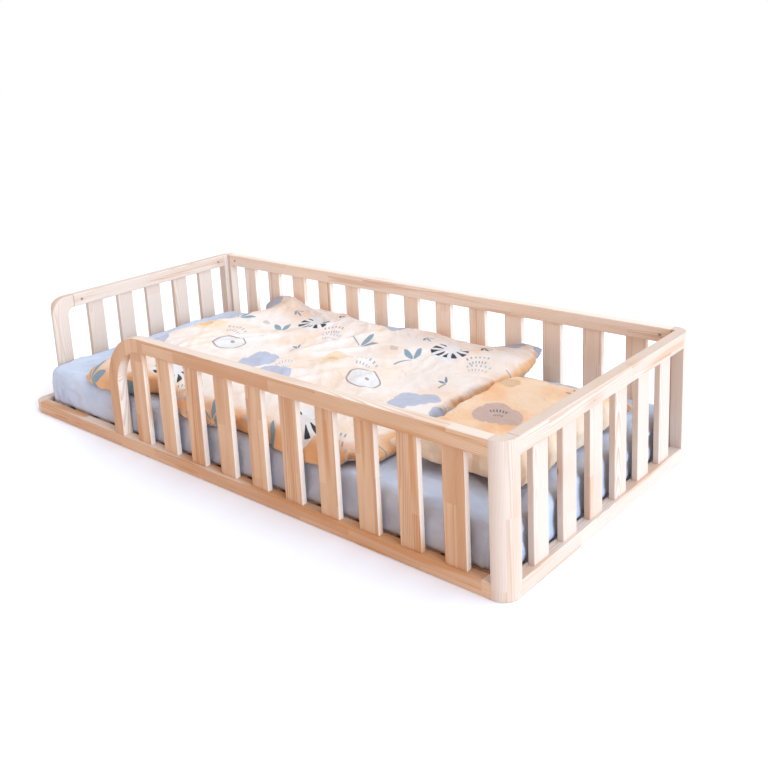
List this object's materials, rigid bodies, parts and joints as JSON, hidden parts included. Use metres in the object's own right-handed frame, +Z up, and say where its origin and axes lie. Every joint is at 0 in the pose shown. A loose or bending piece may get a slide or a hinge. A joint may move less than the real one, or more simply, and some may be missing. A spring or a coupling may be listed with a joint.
{
  "type": "toddler bed",
  "caption": "Low pine floor bed with slatted guards on all sides, a bent hoop beside an open corner to climb in by, and mattress, duvet and pillow.",
  "frame": {"origin": "centre of the footprint, on the floor under the rails and posts", "axes": "+X along the bed towards the pillow end, -Y the side with the hoop and the open corner, +Z up"},
  "size_m": [2.08, 0.98, 0.4],
  "materials": {
    "pine_post": "satin clear lacquer over light pine",
    "pine_top_rail": "satin clear lacquer over light pine",
    "pine_bottom_rail": "satin clear lacquer over light pine",
    "pine_slat": "satin clear lacquer over light pine",
    "pine_raw": "raw planed pine",
    "fitted_sheet_cotton": "matt woven cotton",
    "duvet_cover_cotton": "matt printed cotton",
    "pillowcase_cotton": "matt printed cotton"
  },
  "bodies": {
    "root": {"post_back_right": "pine_post", "post_back_left": "pine_post", "post_front_right": "pine_post", "corner_block_front_left": "pine_post", "hoop_front": "pine_post", "hoop_left": "pine_post", "top_rail_front": "pine_top_rail", "top_rail_back": "pine_top_rail", "top_rail_right": "pine_top_rail", "top_rail_left": "pine_top_rail", "bottom_rail_front": "pine_bottom_rail", "bottom_rail_back": "pine_bottom_rail", "bottom_rail_right": "pine_bottom_rail", "bottom_rail_left": "pine_bottom_rail", "slat_back_01": "pine_slat", "slat_back_02": "pine_slat", "slat_back_03": "pine_slat", "slat_back_04": "pine_slat", "slat_back_05": "pine_slat", "slat_back_06": "pine_slat", "slat_back_07": "pine_slat", "slat_back_08": "pine_slat", "slat_back_09": "pine_slat", "slat_back_10": "pine_slat", "slat_back_11": "pine_slat", "slat_back_12": "pine_slat", "slat_back_13": "pine_slat", "slat_front_01": "pine_slat", "slat_front_02": "pine_slat", "slat_front_03": "pine_slat", "slat_front_04": "pine_slat", "slat_front_05": "pine_slat", "slat_front_06": "pine_slat", "slat_front_07": "pine_slat", "slat_front_08": "pine_slat", "slat_front_09": "pine_slat", "slat_front_10": "pine_slat", "slat_right_01": "pine_slat", "slat_right_02": "pine_slat", "slat_right_03": "pine_slat", "slat_right_04": "pine_slat", "slat_right_05": "pine_slat", "slat_right_06": "pine_slat", "slat_left_01": "pine_slat", "slat_left_02": "pine_slat", "slat_left_03": "pine_slat", "slat_left_04": "pine_slat", "slat_left_05": "pine_slat", "ledger_front": "pine_raw", "ledger_back": "pine_raw", "board_mat_left": "pine_raw", "board_mat_right": "pine_raw", "mattress": "fitted_sheet_cotton", "duvet": "duvet_cover_cotton", "pillow": "pillowcase_cotton"}
  },
  "joints": []
}
